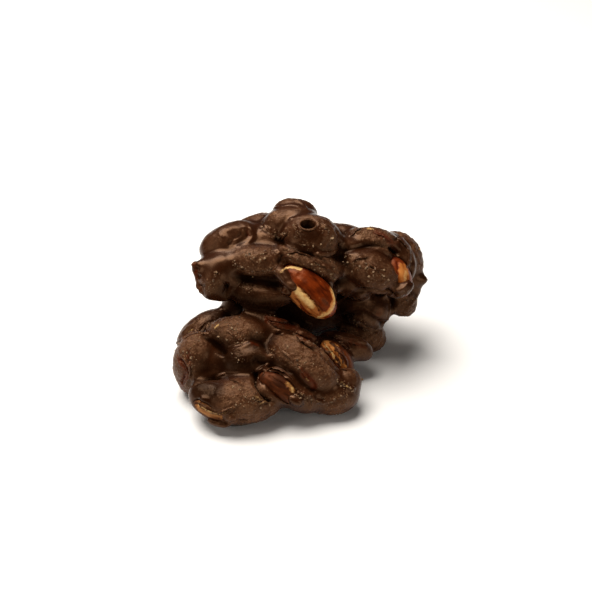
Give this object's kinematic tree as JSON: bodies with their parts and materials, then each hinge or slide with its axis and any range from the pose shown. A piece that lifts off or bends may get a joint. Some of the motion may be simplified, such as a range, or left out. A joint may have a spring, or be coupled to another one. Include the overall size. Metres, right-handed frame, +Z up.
{
  "type": "chocolate peanut cluster",
  "caption": "Two-lobed cluster of roasted peanuts set in dark chocolate, with a few bare kernels, resting on a flat underside.",
  "frame": {"origin": "middle of the cluster's box, on the surface it rests on", "axes": "+X along the longest extent, to the right of the front view; +Y away from the front; +Z up, the shortest extent"},
  "size_m": [0.0582, 0.0496, 0.0358],
  "materials": {
    "dark_chocolate": "satin dark chocolate, speckled and duller over the peanuts",
    "roasted_half_peanut": "red-brown skin on one half, cream roasted flesh on the other",
    "roasted_peanut": "roasted tan flesh under a smear of chocolate",
    "fibrous_peanut": "dry golden fibrous skin",
    "skinned_peanut": "red-brown papery skin under a thin coat",
    "streaked_peanut": "tan fibrous streak"
  },
  "bodies": {
    "root": {"chocolate": "dark_chocolate", "half_front": "roasted_half_peanut", "tan_right": "roasted_peanut", "tan_rough": "fibrous_peanut", "skin_front": "skinned_peanut", "foot_kernel": "streaked_peanut"}
  },
  "joints": []
}
